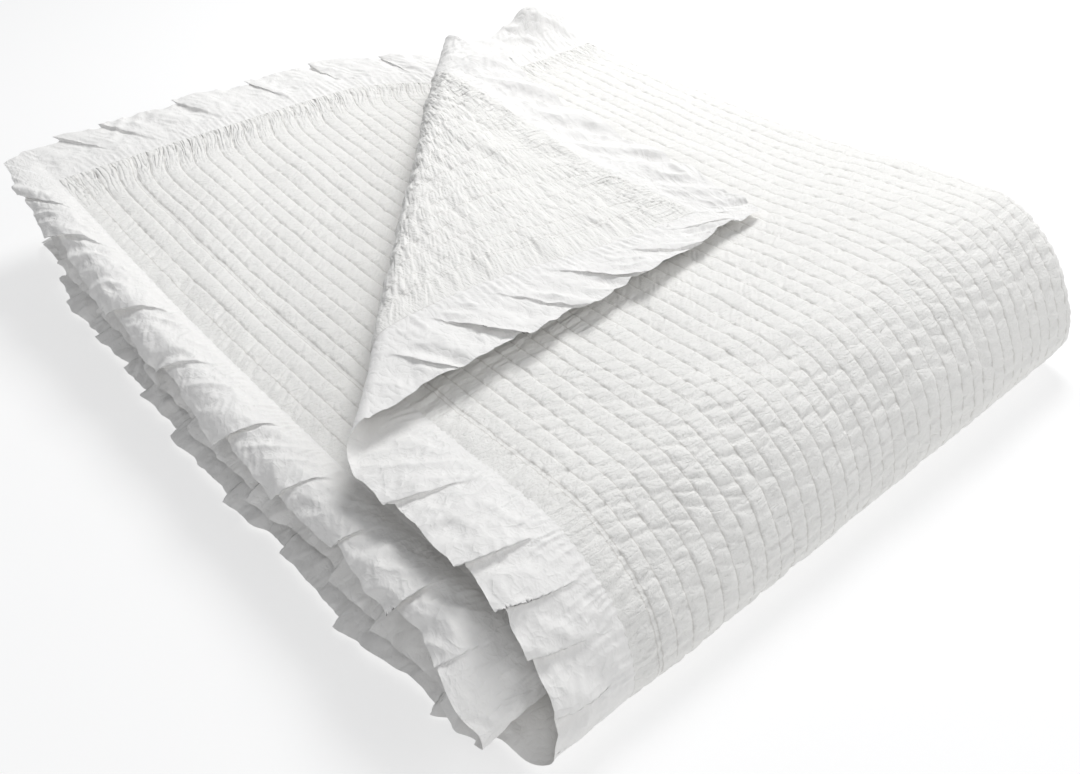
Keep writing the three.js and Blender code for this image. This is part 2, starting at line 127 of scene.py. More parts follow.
# %% Lamps and world
LIT_PLACE = (0, 0, 0.1)  # the stack's middle
LAMPS = {  # place, width of the square, watts
    "key": ((1.6, 0.8, 2.6), 1.3, 74),
    "fill": ((0.9, -2.4, 1.8), 1.6, 17),
    "behind_camera": ((-1.4, -1.7, 2.4), 1.4, 10),
}


def soft_lamp(name, place, size, watts):
    """A square area lamp at a place, turned to face the stack's middle."""
    lamp = bpy.data.objects.new(name, bpy.data.lights.new(name, "AREA"))
    lamp.data.shape, lamp.data.size, lamp.data.energy = "SQUARE", size, watts
    lamp.location = place
    towards = Vector(LIT_PLACE) - Vector(place)
    lamp.rotation_euler = towards.to_track_quat("-Z", "Y").to_euler()
    scene.collection.objects.link(lamp)


for name, (place, size, watts) in LAMPS.items():
    soft_lamp(name, place, size, watts)
world = bpy.data.worlds.new("even_white_room")
scene.world = world
world.use_nodes = True
room_light = world.node_tree.nodes["Background"]
room_light.inputs["Color"].default_value = linear("#F4F6FA")
room_light.inputs["Strength"].default_value = 0.31
scene.view_settings.view_transform = "Standard"
print("lamps", list(LAMPS), "and", world.name)

# %% [markdown]
# ## The coverlet's own sizes
#
# Everything is worked out in millimetres from the flat coverlet: p runs along the stitched
# channels and q across them, both from its centre. A sewing pattern is drawn the same way. Only
# the last step turns a finished grid of points into metres and moves it into the CAD frame.

# %% Sizes
CHANNEL = 25.4  # from one stitched line to the next
HALF_LENGTH, HALF_WIDTH = 1230.0, 990.6  # of the quilted panel
RUFFLE_WIDTH = 120.0
STITCHED_HALF, CREST_HALF = 1.5, 5.5  # half the quilting's thickness
SIDE_FOLD_UPPER, SIDE_FOLD_LOWER = 1112.0, 1094.0  # x of the outermost lines
SIDE_FOLD_DEPTH = 30.0  # how far its nose is past the flat cloth
SIDE_FOLD_CLOTH = np.pi / 2 * SIDE_FOLD_DEPTH  # from the nose to the flat cloth
UPPER_PAIR_SLIP, LOWER_PAIR_SLIP = -48.0, 5.0  # q of the side fold in each pair of layers
SETTLE = 250.0  # the layers come to rest within this behind the front fold
FLOOR_EASE, EASE_FROM, EASE_TO = 3.0, 930.0, 1064.0  # the lowest layer leaves the floor there
OUTER_SLIP, INNER_SLIP = -84.0, 16.0  # p at the nose of the front fold, outside and inside
SLIP_CLOTH = 450.0  # one slip changes into the other over this width
FRAME_CENTRE = np.array([553.65, 700.9, 0.0])  # the stack's middle, the CAD frame's origin

# The front fold's sections: nose y, nose z, rise, fall, height above it, height below it
FRONT = {
    "outer_left": (5, 36, 172, 44, 172, 0),
    "outer_right": (-6, 56, 172, 58, 224, 0),
    "inner_left": (48, 72, 130, 36, 124, 44),
    "inner_right": (42, 92, 130, 40, 174, 44),
}
# Heights of each layer's middle: rows at y 200, 500, 850, 1250, columns at x 150, 600, 1080
LOFT_X, LOFT_Y = (150, 600, 1080), (200, 500, 850, 1250)
LOFT = {
    "top": [(166, 192, 222), (164, 184, 196), (168, 182, 190), (188, 194, 200)],
    "second": [(112, 132, 150), (110, 126, 134), (118, 126, 130), (156, 156, 146)],
    "third": [(54, 62, 68), (52, 60, 64), (56, 60, 64), (84, 84, 80)],
}
print("opened out", 2 * (HALF_WIDTH + RUFFLE_WIDTH) / 1000, "by",
      2 * (HALF_LENGTH + RUFFLE_WIDTH) / 1000, "m")

# %% [markdown]
# ## The fold map
#
# Cloth simulation could fold a sheet in quarters, but it would not land where the photograph
# has it. Instead one function carries each flat point to its place in the stack: round the side
# fold, round the front fold, over the turned corner, and out along the ruffles. All the pieces
# use it, so they meet along their seams.


# %% Smooth steps and curves
def smooth(value, low, high):
    """0 below low, 1 above high, and the S curve 3t^2 - 2t^3 between."""
    t = np.clip((value - low) / (high - low), 0, 1)
    return t * t * (3 - 2 * t)


def mix(a, b, t):
    """a where t is 0 and b where t is 1."""
    return a + (b - a) * t


def through(stations, values, at):
    """A smooth curve through values at uneven stations: in each span a cubic whose end slopes
    are the slopes between the stations on either side."""
    s = np.asarray(stations, float)
    v = np.stack([np.broadcast_to(value, at.shape) for value in values]).astype(float)
    last = len(s) - 1
    i = np.searchsorted(s[1:-1], at)
    before, after = np.maximum(i - 1, 0), np.minimum(i + 2, last)
    take = lambda k: np.take_along_axis(v, k[None], 0)[0]
    span = s[i + 1] - s[i]
    t = np.clip((at - s[i]) / span, -0.4, 1.4)
    m0 = (take(i + 1) - take(before)) / (s[i + 1] - s[before]) * span
    m1 = (take(after) - take(i)) / (s[after] - s[i]) * span
    t2, t3 = t * t, t**3
    return ((2 * t3 - 3 * t2 + 1) * take(i) + (t3 - 2 * t2 + t) * m0
            + (3 * t2 - 2 * t3) * take(i + 1) + (t3 - t2) * m1)


def loft(layer, x, y):
    """Height of a layer's middle: a curve across x at each station, then one along y."""
    return through(LOFT_Y, [through(LOFT_X, row, x) for row in LOFT[layer]], y)


print("top layer at the stack's middle:",
      round(float(loft("top", np.array([600.0]), np.array([600.0]))[0]), 1), "mm")


# %% The front fold's section
RISE_TAKES, FALL_TAKES = 1.09, 1.11  # cloth in a curve, as a share of its chord


def floor_ease(x, depth):
    """How far the lowest layer is off the floor, towards the side fold."""
    return (1 - depth) * FLOOR_EASE * smooth(x, EASE_FROM, EASE_TO)


def front_fold(x, depth):
    """The section at a place across the stack, as a dictionary: the four tabled sections mixed
    from left to right and from outer (depth 0) to inner (depth 1), then the cloth that its
    upper and lower curves take."""
    grown = smooth(x, LOFT_X[0], LOFT_X[-1])
    corner = {k: np.array(v, float).reshape(6, *[1] * np.ndim(x)) for k, v in FRONT.items()}
    outer = mix(corner["outer_left"], corner["outer_right"], grown)
    inner = mix(corner["inner_left"], corner["inner_right"], grown)
    names = ("nose_y", "nose_z", "rise", "fall", "top", "bottom")
    fold = dict(zip(names, mix(outer, inner, depth)))
    fold["bottom"] = fold["bottom"] + floor_ease(x, depth)
    fold["rise_cloth"] = RISE_TAKES * np.hypot(fold["rise"], fold["top"] - fold["nose_z"])
    fold["fall_cloth"] = FALL_TAKES * np.hypot(fold["fall"], fold["nose_z"] - fold["bottom"])
    fold["upper_reach"] = fold["nose_y"] + fold["rise"] - fold["rise_cloth"]
    fold["lower_reach"] = fold["nose_y"] + fold["fall"] - fold["fall_cloth"]
    return fold


def upper_height(x, y, depth):
    """Height of the upper two layers' middle: level with the fold's top, then the loft."""
    fold = front_fold(x, depth)
    resting = mix(loft("top", x, y), loft("second", x, y), depth)
    return mix(fold["top"], resting, smooth(y - fold["nose_y"] - fold["rise"], 0, SETTLE))


def lower_height(x, y, depth):
    """Height of the lower two layers' middle: 0 for the fourth, the loft for the third."""
    fold = front_fold(x, depth)
    settled = smooth(y - fold["nose_y"] - fold["fall"], 0, SETTLE)
    return mix(fold["bottom"], depth * loft("third", x, y) + floor_ease(x, depth), settled)


section = front_fold(np.array([200.0, 1000.0]), 0)
print("front fold, cloth in its rise:", np.round(section["rise_cloth"], 1), "mm")

# %% [markdown]
# ## The turned back corner
#
# The corner of the top layer is folded over along a diagonal and lies on the layer with its
# reverse up. A bend modifier could roll a copy of it, but the map does it point by point: a
# point past the diagonal line goes round a soft roll and comes down on the cloth behind it.

# %% Sizes of the turned corner
TURN_OFFSET = 282.0  # the diagonal fold line is y = x + this
TURN_NEAR, TURN_FAR = 19.0, 42.0  # the roll's radius at its two ends
TURN_FROM, TURN_TO = 350.0, 1500.0  # where those ends are along the line
TURN_SETTLE = 260.0  # behind the roll the cloth comes down within this
REST_TIP, REST_ROOT = 15.0, 26.0  # how far above the layer's middle it then lies
REST_FROM, REST_TO = 150.0, 600.0  # how far behind the roll that changes from root to tip
TURN_MOST_RAISED = 2.0  # what stands up from the layer is pressed to this in the roll
PULLED_BY, PULLED_OVER = 104.0, 430.0  # the turned cloth is pulled this far to the front
ROOT2 = np.sqrt(2)
print("roll radius", TURN_NEAR, "to", TURN_FAR, "mm")


# %% Over the roll
def past_turn(p, q):
    """How far a flat point of the top layer is past the diagonal fold line."""
    x = SIDE_FOLD_UPPER - SIDE_FOLD_DEPTH + SIDE_FOLD_CLOTH - (UPPER_PAIR_SLIP - q)
    fold = front_fold(x, 0)
    y = fold["nose_y"] + fold["rise"] - fold["rise_cloth"] + OUTER_SLIP - p
    return (y - x - TURN_OFFSET) / ROOT2


def turn_radius(along):
    """The roll's radius, which grows along the diagonal line."""
    return mix(TURN_NEAR, TURN_FAR, smooth(along, TURN_FROM, TURN_TO))


def turn_corner(point):
    """Turns what is past the diagonal line: half a circle round the roll, then back over the
    top layer, coming down from the roll's height to its rest."""
    x, y, z = point
    s = (y - x - TURN_OFFSET) / ROOT2
    stand = z - upper_height(x, y, 0)
    radius = turn_radius((x + y) / ROOT2)
    foot_x, foot_y = x + s / ROOT2, y - s / ROOT2
    half_turn = np.pi * radius
    raised = mix(stand, np.minimum(stand, TURN_MOST_RAISED), smooth(s, 0, half_turn))
    angle = np.clip(s / radius, 0, np.pi)
    out = (radius - raised) * np.sin(angle)
    up = radius - (radius - raised) * np.cos(angle)
    rolled = np.stack([foot_x - out / ROOT2, foot_y + out / ROOT2,
                       upper_height(foot_x, foot_y, 0) + up])
    back = np.maximum(s - half_turn, 0)
    pulled = PULLED_BY * smooth(back, 0, PULLED_OVER)
    back_x, back_y = foot_x + back / ROOT2, foot_y - back / ROOT2 - pulled
    rest = mix(REST_ROOT, REST_TIP, smooth(back, REST_FROM, REST_TO))
    lift = mix(2 * radius, rest, smooth(back, 0, TURN_SETTLE))
    laid = np.stack([back_x, back_y, upper_height(back_x, back_y, 0) + lift - raised])
    return np.where(s <= 0, point, np.where(s < half_turn, rolled, laid))


print("roll radius halfway:", turn_radius((TURN_FROM + TURN_TO) / 2), "mm")

# %% Ruffles in the map
# Each row is out and up from the seam, at a ruffle's middle and at its hem
LAY_SIDE = {"top": (58, 2, 116, -3), "second": (48, 13, 80, -6),
            "third": (60, 20, 112, -8), "fourth": (57, 24, 114, -1)}
LAY_END = {"top": (56, 8, 112, 18), "second": (56, 8, 112, 14),
           "third": (57, 4, 112, 6), "fourth": (57, 10, 112, -1)}
STRAIGHT_OUT = (58, 0, 114, 0)
CORNER_CUT, CORNER_REACH = 0.3, 160  # share that a rounded corner loses, and how far it reaches


def pick(upper, outer, table):
    """The table's row for each point: the top layer's where upper and outer, and so on."""
    rows = {k: np.array(v, float)[:, None] for k, v in table.items()}
    return np.where(upper, np.where(outer, rows["top"], rows["second"]),
                    np.where(outer, rows["fourth"], rows["third"]))


def lay(section, share):
    """A ruffle's offset out and up at a share of its width: a curve through its middle and
    its hem that starts at the seam."""
    a, b = 2 * (1 - share) * share, share**2
    mid_out, mid_up, hem_out, hem_up = section
    return (a * (2 * mid_out - hem_out / 2) + b * hem_out,
            a * (2 * mid_up - hem_up / 2) + b * hem_up)


def rounded_corner(panel_p, panel_q):
    """What is left of an outer ruffle's reach near the panel's corners."""
    near_p = smooth(abs(panel_p), HALF_LENGTH - CORNER_REACH, HALF_LENGTH)
    near_q = smooth(-panel_q, HALF_WIDTH - CORNER_REACH, HALF_WIDTH)
    return 1 - CORNER_CUT * near_p * near_q


print("at a corner an outer ruffle is left", 1 - CORNER_CUT, "of its reach")


# %% The panel in the stack
PAIRS_MEET = 200  # the two pairs' side folds change over within this of p = 0
SQUARE_FROM, SQUARE_TO = -600, 500  # p where the layers' slip changes from upper to lower
STEEPNESS = 0.75  # the upper curve's power, under 1 for a nose that stands up steeply


def stacked(panel_p, panel_q):
    """The panel's places before the corner is turned: across first (outer layer, side fold,
    inner layer), then along (lower layer, front fold, upper layer). After x, y and z come the
    way past the side fold, the depth, whether it is an upper layer, and the angle round the
    front fold."""
    lower = smooth(panel_p, -PAIRS_MEET, PAIRS_MEET)
    from_fold = panel_q - mix(UPPER_PAIR_SLIP, LOWER_PAIR_SLIP, lower)
    turn = np.clip(from_fold / SIDE_FOLD_CLOTH, -1, 1) * np.pi / 2
    depth = (1 + np.sin(turn)) / 2
    straight = np.maximum(abs(from_fold) - SIDE_FOLD_CLOTH, 0)
    bulge = SIDE_FOLD_DEPTH * (1 - np.cos(turn))
    x = mix(SIDE_FOLD_UPPER, SIDE_FOLD_LOWER, lower) - bulge - straight

    fold, outer_fold = front_fold(x, depth), front_fold(x, 0)
    upper_slip = OUTER_SLIP + outer_fold["upper_reach"] - fold["upper_reach"]
    lower_slip = OUTER_SLIP + fold["lower_reach"] - outer_fold["lower_reach"]
    square_slip = mix(upper_slip, lower_slip, smooth(panel_p, SQUARE_FROM, SQUARE_TO))
    inside = smooth(from_fold, SIDE_FOLD_CLOTH, SIDE_FOLD_CLOTH + SLIP_CLOTH)
    run = panel_p - mix(square_slip, INNER_SLIP, inside)
    upper = run < 0
    curve = np.where(upper, fold["rise_cloth"], fold["fall_cloth"])
    angle = np.minimum(abs(run) / curve, 1) * np.pi / 2
    flat = np.maximum(abs(run) - curve, 0)
    open_ = 1 - np.cos(angle)
    forward = np.where(upper, fold["rise"] * open_**STEEPNESS, fold["fall"] * open_)
    y = fold["nose_y"] + flat + forward
    z = mix(fold["nose_z"], np.where(upper, fold["top"], fold["bottom"]), np.sin(angle))
    settled = np.where(upper, upper_height(x, y, depth), lower_height(x, y, depth))
    return x, y, np.where(flat > 0, settled, z), from_fold, depth, upper, angle


edge = stacked(np.array([-HALF_LENGTH, HALF_LENGTH]), np.array([HALF_WIDTH, HALF_WIDTH]))
print("inner long edge, its two ends' heights:", np.round(edge[2], 0), "mm")

# %% The whole map
LEVEL_OUT = 0.3  # up to this angle round the front fold a side ruffle stands straight out
TOP_SHORT, TOP_FROM, TOP_TO = 0.38, 400, 1000  # the top ruffle looks shorter behind these y
REST_SHORT, SHORT_FROM, SHORT_TO = 0.24, 550, 1350  # and so do the others
FLATTENED, FLAT_FROM, FLAT_TO = 0.7, 1100, 1350  # all of them lie flatter behind these


def folded(p, q):
    """The place of flat points (p, q) on the middle of the cloth: the panel in the stack, then
    out along the ruffles, then over the turned corner."""
    shape = np.broadcast(p, q).shape
    p, q = (np.broadcast_to(a, shape).ravel().astype(float) for a in (p, q))
    panel_p, panel_q = np.clip(p, -HALF_LENGTH, HALF_LENGTH), np.clip(q, -HALF_WIDTH, HALF_WIDTH)
    beyond_p, beyond_q = abs(p - panel_p) / RUFFLE_WIDTH, abs(q - panel_q) / RUFFLE_WIDTH
    x, y, z, from_fold, depth, upper, angle = stacked(panel_p, panel_q)
    side = pick(upper, q < 0, LAY_SIDE)
    straight_out = np.array(STRAIGHT_OUT, float)[:, None]
    out, up = lay(mix(straight_out, side, smooth(angle, LEVEL_OUT, np.pi / 2)), beyond_q)
    corner = rounded_corner(panel_p, panel_q)
    shorter = np.where(upper & (q < 0), TOP_SHORT * smooth(y, TOP_FROM, TOP_TO),
                       REST_SHORT * smooth(y, SHORT_FROM, SHORT_TO))
    x = x - out * corner * (1 - shorter)
    z = z + up * corner * (1 - FLATTENED * smooth(y, FLAT_FROM, FLAT_TO))
    end = mix(pick(upper, True, LAY_END), pick(upper, False, LAY_END), depth)
    out, up = lay(end, beyond_p)
    point = np.stack([x, y + out * corner, z + up])
    turned = turn_corner(point)
    point = np.where(upper & (from_fold < -SIDE_FOLD_CLOTH), turned, point)
    point[2] += CREST_HALF
    return point.T.reshape(*shape, 3)


def normals(p, q):
    """Which way the outer face points: the cross product of the steps along and across."""
    step = 0.5
    a = np.where(abs(p) > HALF_LENGTH, p, np.clip(p, step - HALF_LENGTH, HALF_LENGTH - step))
    b = np.where(abs(q) > HALF_WIDTH, q, np.clip(q, step - HALF_WIDTH, HALF_WIDTH - step))
    along = folded(a + step, b) - folded(a - step, b)
    across = folded(a, b + step) - folded(a, b - step)
    normal = np.cross(along, across)
    return normal / np.linalg.norm(normal, axis=-1, keepdims=True)


corner = folded(np.array([-HALF_LENGTH, HALF_LENGTH]), np.array([0.0, HALF_WIDTH]))
print("two places on the panel's edge, mm:", np.round(corner - FRAME_CENTRE, 0).tolist())

# %% [markdown]
# ## Noise and creases
#
# Washed quilting is never regular: the stitches shrink, and the cloth between them buckles into
# short creases and small pillows. Random numbers give that unevenness, but they come from one
# seeded table, so that the coverlet is the same each time the script runs.

# %% Noise
TABLE = np.random.default_rng(41).uniform(-1, 1, (256, 256))


def chance(i, j):
    """A fixed random number from -1 to 1 for each pair of whole numbers."""
    return TABLE[np.asarray(i).astype(int) % 256, np.asarray(j).astype(int) % 256]


def noise(u, v):
    """Smooth random heights, -1 to 1: the fixed numbers at whole u and v, eased between."""
    u, v = np.broadcast_arrays(u, v)
    i, j = np.floor(u), np.floor(v)
    s, t = smooth(u - i, 0, 1), smooth(v - j, 0, 1)
    return mix(mix(chance(i, j), chance(i + 1, j), s),
               mix(chance(i, j + 1), chance(i + 1, j + 1), s), t)


def creases(along, key, spacing, width):
    """Narrow troughs across a strip: a ruler along it that wanders and has a trough at each
    whole mark, the deepest 1 deep. key tells the strips apart."""
    mark = along / spacing + 0.45 * noise(along / (1.6 * spacing), key * 7.31) + 5 * chance(key, 3)
    whole = np.round(mark)
    near = (mark - whole) * spacing
    return (0.6 + 0.4 * chance(whole, key * 5 + 1)) * np.exp(-((near / width) ** 2))


def valleys(u, v):
    """Sharp valley lines on a puffy ground: 1 on the lines where a smooth noise crosses zero,
    0 a little away from them."""
    return np.maximum(0, 1 - 2.6 * abs(noise(u, v))) ** 1.5


print("noise, lowest and highest:", TABLE.min().round(2), TABLE.max().round(2))

# %% [markdown]
# ## The quilting's relief
#
# Each channel is a soft ridge between two stitched lines. Near the side ruffles the lines run in
# a close pair, with a puckered band outside it. A bump or a displacement texture could give the
# ridges, but here they are geometry, because they show in the outline of the fold and in the
# grazing light. The height over the cloth's middle is the ridge's section times its puff, less
# the creases that cross it.

# %% Stitched lines
PAIR = 3.0  # half the distance between the two lines of a pair
ON_A_PAIR = 1.0  # a plain line this near to a pair's middle is left out
OUTER_PAIR = -HALF_WIDTH + 1.5 * CHANNEL
INNER_PAIR = HALF_WIDTH - 4 * CHANNEL
outer_lines = np.arange(OUTER_PAIR + CHANNEL, -60, CHANNEL)
inner_lines = np.arange(-CHANNEL, HALF_WIDTH + 1, CHANNEL)
inner_lines = inner_lines[abs(inner_lines - INNER_PAIR) > ON_A_PAIR]
LINES = np.sort(np.concatenate([
    [-HALF_WIDTH, OUTER_PAIR - PAIR, OUTER_PAIR + PAIR], outer_lines,
    [INNER_PAIR - PAIR, INNER_PAIR + PAIR], inner_lines]))
print(len(LINES), "stitched lines, first", LINES[:4].round(1), "last", LINES[-1].round(1))


# %% Creases of the quilting
RIPPLE = 6.6  # a valley across the strips at every second one of these, more or less
PARTED_EVERY, PARTED_WIDTH = 23, 3.5  # the creases that part the pillows
LANE, LANE_EVERY, LANE_WIDTH = 178, 74, 4.0  # seven strips share longer creases
SIDE_PULL, END_PULL = (18, 75), (10, 90)  # the gathers pull fully, and no more, this far in


def channel(q):
    """Which strip between two stitched lines a place is in, how far across it (-1 to 1), and
    the strip's width."""
    k = np.clip(np.searchsorted(LINES, q, side="right") - 1, 0, len(LINES) - 2)
    width = LINES[k + 1] - LINES[k]
    return k, 2 * (q - LINES[k]) / width - 1, width


def strip_creases(p, q, k, across, off_middle):
    """Two kinds of trough across a strip, 0 to 1: ripples, and the creases that part its
    pillows. Both lie a little slanted. Every 74 mm a longer crease runs on through a lane of
    seven strips."""
    slanted = p + (0.7 * noise(p / 210, q / 170) + 0.25) * off_middle
    ripples = valleys(slanted / RIPPLE, across * 0.8 + 5.3 * k)
    parted = creases(slanted - 0.3 * off_middle, k + 90, PARTED_EVERY, PARTED_WIDTH)
    lane = np.floor((q + 3) / LANE)
    long_run = creases(p + 14 * noise(p / 90, q / 70), lane, LANE_EVERY, LANE_WIDTH)
    return ripples, np.maximum(parted, 0.8 * long_run)


def seam_pull(p, q):
    """How hard the gathers pull at the side and the end seams, and the fine puckers square to
    each seam that come of it."""
    to_side, to_end = HALF_WIDTH - abs(q), HALF_LENGTH - abs(p)
    side_pull, end_pull = 1 - smooth(to_side, *SIDE_PULL), 1 - smooth(to_end, *END_PULL)
    puckers = (side_pull * valleys((p + 0.4 * to_side) / 9.5, q / 40)
               + end_pull * valleys((q + 0.25 * to_end) / 8.2, p / 46))
    return side_pull, end_pull, puckers


print("the gathers pull up to", SIDE_PULL[1], "mm in at the sides,", END_PULL[1], "at the ends")

# %% Relief
PINCHED = 0.1  # half the thickness at the seams, where the cloths are sewn together
PINCH_OVER = 10
DEEPEST = 1.2  # no crease goes further below a stitched line
PUCKER_DEPTH = 3.5


def off_seam(p, q):
    """How far a place on the panel is from its nearest seam."""
    return np.minimum(HALF_LENGTH - abs(p), HALF_WIDTH - abs(q))


def relief(p, q, puff, ripple, pillow, crinkle):
    """Half the quilting's thickness. Flat-topped ridges (1 - |a|^6)^0.5 stand between the
    stitched lines. From them come off ripples (valleys across the strip about 13 mm apart),
    pillows (deeper creases across it, some 23 mm apart) and a crinkle that ignores the strips.
    Towards the seams, where the ruffles' gathers pull, the strips flatten and fine puckers
    stand square to the seam. At the seam itself the two cloths are pinched together."""
    k, across, width = channel(q)
    full = np.minimum(1, (width / CHANNEL) ** 0.7)
    ridge = np.maximum(0, 1 - abs(across) ** 6) ** 0.5
    ripples, parted = strip_creases(p, q, k, across, (q - LINES[k]) - width / 2)
    fine = valleys(p / 6.1 + 0.6 * noise(p / 30, q / 30), q / 8.3) - 0.2
    uneven = 1 + 0.22 * noise(p / 38, k * 3.7)
    side_pull, end_pull, puckers = seam_pull(p, q)
    puff = puff * (1 - 0.6 * np.maximum(side_pull, 0.8 * end_pull))
    high = puff * (CREST_HALF - STITCHED_HALF) * ridge * full * uneven
    high = high - ridge**0.6 * (ripple * (ripples - 0.25) + pillow * parted) - crinkle * fine
    high = high + crinkle * 1.4 * noise(p / 24 + 0.5 * noise(p / 60, q / 60), q / 31)
    high = high - PUCKER_DEPTH * (puckers - 0.25)
    at_seam = smooth(off_seam(p, q), 0, PINCH_OVER)
    return PINCHED + (STITCHED_HALF - PINCHED + np.maximum(high, -DEEPEST)) * at_seam


print("crest", CREST_HALF, "mm, stitched line", STITCHED_HALF, "mm, seam", PINCHED, "mm")

# %% Uneven cloth, and lines that wander
SWAY_FADE = 50  # the hills die out over this at the seams
DRAG = 30  # the lines bend by this at the second layer's end seam
DRAG_END, DRAG_FROM, DRAG_TO, DRAG_FADE = 120, 60, 200, 150


def sway(p, q):
    """Soft hills and hollows of the whole cloth, some 60 to 150 mm across and 3 mm high. They
    die out at the seams."""
    broad = 2.2 * noise((p + 0.6 * q) / 130 + 3, (q - 0.5 * p) / 95)
    small = 1.5 * noise((p - 0.4 * q) / 58, q / 72 + 9)
    return smooth(off_seam(p, q), 0, SWAY_FADE) * (broad + small)


def wandered(p, q):
    """q moved a little sideways, so that no stitched line runs quite straight, and by up to
    30 mm at the second layer's end, where the lines bend towards the side fold."""
    dragged = DRAG * (1 - smooth(HALF_LENGTH + p, 0, DRAG_END)) ** 1.5
    dragged = dragged * smooth(q, DRAG_FROM, DRAG_TO) * smooth(HALF_WIDTH - q, 0, DRAG_FADE)
    wander = 1.8 * noise(p / 85, q / 60) + 0.7 * noise(p / 27, q / 40)
    wander = wander * smooth(HALF_WIDTH - abs(q), 5, 60)
    return q + wander * smooth(abs(q - UPPER_PAIR_SLIP), 60, 120) - dragged


print("the lines are dragged by up to", DRAG, "mm at the second layer's end")

# %% [markdown]
# ## Meshes from grids
#
# A surface that depends on two numbers is a grid of points, and neighbours in the grid make its
# faces. A UV map keeps each point's flat place in metres, so that weave and stitches follow the
# cloth round every fold as they do on the real one.


# %% Grid to mesh
NO_LINE = 9.0  # written on the ruffles, and where the columns miss the lines
WIDE_COLUMNS = 15  # mm between columns past which a piece is out of sight
PUCKERED = (15, 120)  # the end seams pucker the cloth fully, and no more, this far in


def cloth_piece(name, points, p, q, material, flipped=False, faint=0.0):
    """A mesh object from a grid of points in mm, with the flat places p and q as its UV map and
    two attributes: how far a stitched line is, and how much the end seam puckers the cloth.
    Where faint is 1 the painted shade along the lines doesn't show."""
    rows, columns = points.shape[:2]
    index = np.arange(rows * columns).reshape(rows, columns)
    quads = np.stack([index[:-1, :-1], index[1:, :-1], index[1:, 1:], index[:-1, 1:]], -1)
    quads = quads.reshape(-1, 4)[:, :: -1 if flipped else 1]
    mesh = bpy.data.meshes.new(name)
    metres = (points - FRAME_CENTRE).reshape(-1, 3) / 1000
    mesh.vertices.add(len(metres))
    mesh.loops.add(quads.size)
    mesh.polygons.add(len(quads))
    mesh.vertices.foreach_set("co", metres.ravel())
    mesh.loops.foreach_set("vertex_index", quads.ravel())
    mesh.polygons.foreach_set("loop_start", np.arange(0, quads.size, 4))
    mesh.polygons.foreach_set("use_smooth", np.ones(len(quads), bool))
    mesh.update(calc_edges=True)
    flat = np.stack([np.broadcast_to(q, (rows, columns)), np.broadcast_to(p, (rows, columns))], -1)
    uv = mesh.uv_layers.new(name="flat_cloth")
    uv.data.foreach_set("uv", (flat.reshape(-1, 2)[quads.ravel()] / 1000).ravel())
    off_line = np.full(columns, NO_LINE)
    if np.ndim(q) == 1:
        nearest = np.abs(q[:, None] - LINES).min(-1)
        off_line = np.where(np.gradient(q) > WIDE_COLUMNS, NO_LINE, nearest)
    puckered = 1 - smooth(HALF_LENGTH - abs(p), *PUCKERED)
    for label, value in (("off_line", off_line + faint), ("puckered", puckered)):
        attribute = mesh.attributes.new(label, "FLOAT", "POINT")
        whole = np.broadcast_to(value, (rows, columns)).astype(float)
        attribute.data.foreach_set("value", whole.ravel())
    mesh.materials.append(material)
    piece = bpy.data.objects.new(name, mesh)
    scene.collection.objects.link(piece)
    print(name, "has", 2 * len(quads), "triangles")
    return piece


def between(marks, counts):
    """Rows spread evenly between marks, each of which may differ from column to column."""
    parts = [mix(a, b, np.arange(n)[:, None] / n) for a, b, n in zip(marks, marks[1:], counts)]
    return np.concatenate([*parts, np.broadcast_to(marks[-1], (1, np.size(marks[0])))])


COLUMN_SHARES = np.array([0, 0.06, 0.2, 0.5, 0.8, 0.94])  # of a channel's width


def columns_at(fine_from, fine_to):
    """Places across the panel. Between the two limits a channel has six and the narrow strip
    of a pair two, and elsewhere each has one."""
    places = []
    for a, b in zip(LINES, LINES[1:]):
        fine = fine_from <= a and b <= fine_to
        inside = COLUMN_SHARES if b - a > CHANNEL / 2 else COLUMN_SHARES[[0, 3]]
        places.append(a + (b - a) * (inside if fine else COLUMN_SHARES[:1]))
    return np.concatenate([*places, [LINES[-1]]])


print("columns across the whole panel, all fine:", len(columns_at(-HALF_WIDTH, HALF_WIDTH)))

# %% [markdown]
# ## Cloths
#
# The quilting is a thin cotton percale, washed and slightly puckered. The ruffles are a cotton
# voile, thinner and plainer. Both are matt, with the soft sheen of loose fibre ends, and their
# whites lean a little to cream. A real thread is about 0.3 mm thick, too fine to show from
# here, so a slub of 3 mm stands for the weave. Wave textures would make the creases too even.
# Noise in its ridged form has sharp crests as pressed cotton does, and an inverted bump turns
# them into sharp valleys.

# %% Bumps
def crumpled(material, flat, across_mm, along_mm, kind, detail=2.0, turned=0.0):
    """Random heights drawn out to the given sizes across and along the strips."""
    placed = add_node(material, "ShaderNodeMapping", None,
                      {"Scale": (1000 / across_mm, 1000 / along_mm, 1),
                       "Rotation": (0, 0, np.radians(turned))}, {"Vector": flat})
    return add_node(material, "ShaderNodeTexNoise", {"noise_dimensions": "2D", "noise_type": kind},
                    {"Scale": 1.0, "Detail": detail, "Roughness": 0.55, "Distortion": 0.35}
                    | ({"Offset": 1.0, "Gain": 1.0} if kind == "RIDGED_MULTIFRACTAL" else {}),
                    {"Vector": placed.outputs["Vector"]}).outputs["Fac"]


def bumps(material, layers):
    """A chain of bumps: each layer is a height output and its height in mm."""
    normal = None
    for height, size in layers:
        links = {"Height": height} | ({"Normal": normal} if normal else {})
        bump = add_node(material, "ShaderNodeBump", {"invert": size < 0},
                        {"Strength": 1.0, "Distance": abs(size) / 1000}, links)
        normal = bump.outputs["Normal"]
    return normal


PERCALE_SLUB, VOILE_SLUB = 3.2, 3.4  # mm, in place of the threads
print("slub waves in a metre of percale:", round(1000 / PERCALE_SLUB))
